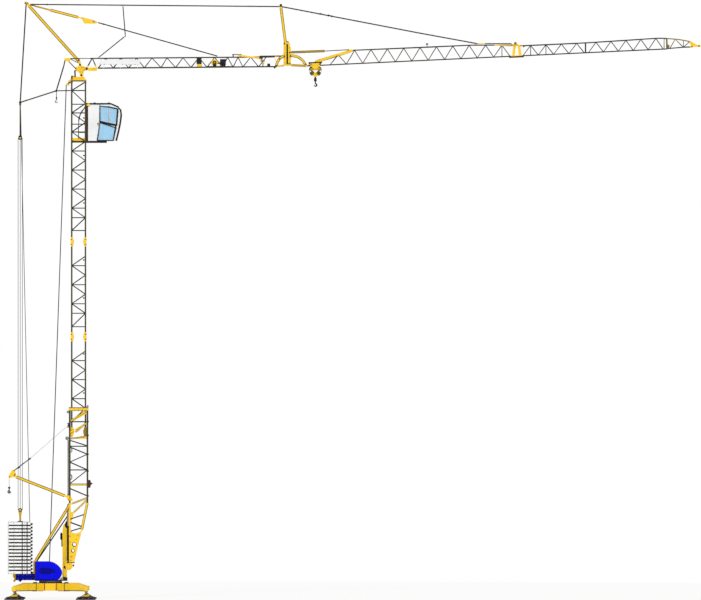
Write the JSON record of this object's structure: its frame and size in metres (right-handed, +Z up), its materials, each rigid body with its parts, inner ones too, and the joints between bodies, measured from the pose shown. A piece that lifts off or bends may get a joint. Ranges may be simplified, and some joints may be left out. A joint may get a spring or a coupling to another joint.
{
  "type": "self-erecting tower crane, 1:2 scale model",
  "caption": "Bottom-slewing tower crane: telescoping lattice mast, stayed lattice jib with trolley and hook, cab, ballast stack and outrigger base.",
  "frame": {"origin": "on the slewing axis, at ground level under the four foot pads", "axes": "+X along the jib towards its tip, +Z up along the slewing axis, +Y to the far side"},
  "size_m": [24.842, 3.264, 21.34],
  "materials": {
    "yellow_paint": "satin paint",
    "chord_paint": "satin paint on the lattice",
    "black_paint": "matt black paint",
    "brown_paint": "brown primer",
    "blue_cover": "gloss gel coat",
    "blue_paint": "gloss paint",
    "concrete": "cast concrete",
    "white_panel": "white painted sheet",
    "roof_panel": "dark roof shell",
    "cab_glass": "tinted glazing",
    "steel_rope": "greased wire rope",
    "bare_steel": "bare machined steel"
  },
  "bodies": {
    "undercarriage": {"chassis_hub": "yellow_paint", "outrigger_legs": "yellow_paint", "jack_screws": "bare_steel", "foot_pads": "black_paint", "leg_pins": "black_paint", "slew_ring_lower": "black_paint"},
    "platform": {"slew_ring_upper": "black_paint", "platform_deck": "black_paint", "rear_beam": "blue_paint", "machinery_cover": "blue_cover", "rear_frame": "yellow_paint", "ballast_slabs_odd": "concrete", "ballast_slabs_even": "concrete", "ballast_fittings": "black_paint", "stay_block": "black_paint", "front_post": "yellow_paint", "outer_mast": "chord_paint", "outer_collar": "yellow_paint", "mast_foot": "yellow_paint", "erecting_gear": "black_paint", "back_braces": "yellow_paint", "rear_guides": "black_paint", "mast_brackets": "brown_paint", "mast_ropes": "steel_rope"},
    "inner_mast": {"inner_mast_top": "chord_paint", "inner_mast_middle": "chord_paint", "inner_mast_lower": "chord_paint", "mast_joints": "yellow_paint", "cab_shell": "white_panel", "cab_door": "white_panel", "cab_glass": "cab_glass", "cab_roof": "roof_panel", "cab_frame": "brown_paint", "cab_platform": "black_paint", "mast_head": "yellow_paint", "head_pivot": "black_paint", "strut": "yellow_paint", "rear_arm": "black_paint", "rear_link": "chord_paint", "jib_inner": "chord_paint", "strut_ties": "steel_rope", "sign_board": "white_panel", "jib_machinery": "yellow_paint", "king_post": "yellow_paint", "elbow": "yellow_paint", "jib_outer": "chord_paint", "fold_joint": "yellow_paint", "jib_third": "chord_paint", "jib_fourth": "chord_paint", "jib_tip": "yellow_paint", "jib_rods": "black_paint", "outer_tie": "steel_rope"},
    "trolley": {"trolley_frame": "yellow_paint", "trolley_wheels": "black_paint", "hook_falls": "steel_rope"},
    "hook_block": {"hook_block": "yellow_paint"},
    "hook": {"hook": "black_paint"},
    "davit": {"davit_boom": "yellow_paint", "davit_rigging": "steel_rope"}
  },
  "joints": [
    {"name": "slew", "type": "hinge", "parent": "undercarriage", "child": "platform", "pos_m": [0, 0, 0.62], "axis": [0, 0, 1], "continuous": true},
    {"name": "telescope", "type": "slide", "parent": "platform", "child": "inner_mast", "axis": [0, 0, -1], "range_m": [0, 2.3], "deforming": ["mast_ropes"]},
    {"name": "trolley_travel", "type": "slide", "parent": "inner_mast", "child": "trolley", "axis": [0.9989, 0, 0.0472], "range_m": [0, 12.2]},
    {"name": "hoist", "type": "slide", "parent": "trolley", "child": "hook_block", "axis": [0, 0, -1], "range_m": [0, 17.5], "deforming": ["hook_falls"]},
    {"name": "hook_swivel", "type": "hinge", "parent": "hook_block", "child": "hook", "pos_m": [9.455, 0, 18.6], "axis": [0, 0, 1], "continuous": true},
    {"name": "davit_swing", "type": "hinge", "parent": "platform", "child": "davit", "pos_m": [0.64, -0.42, 3.655], "axis": [0, 0, 1], "range_deg": [0, 90]}
  ]
}
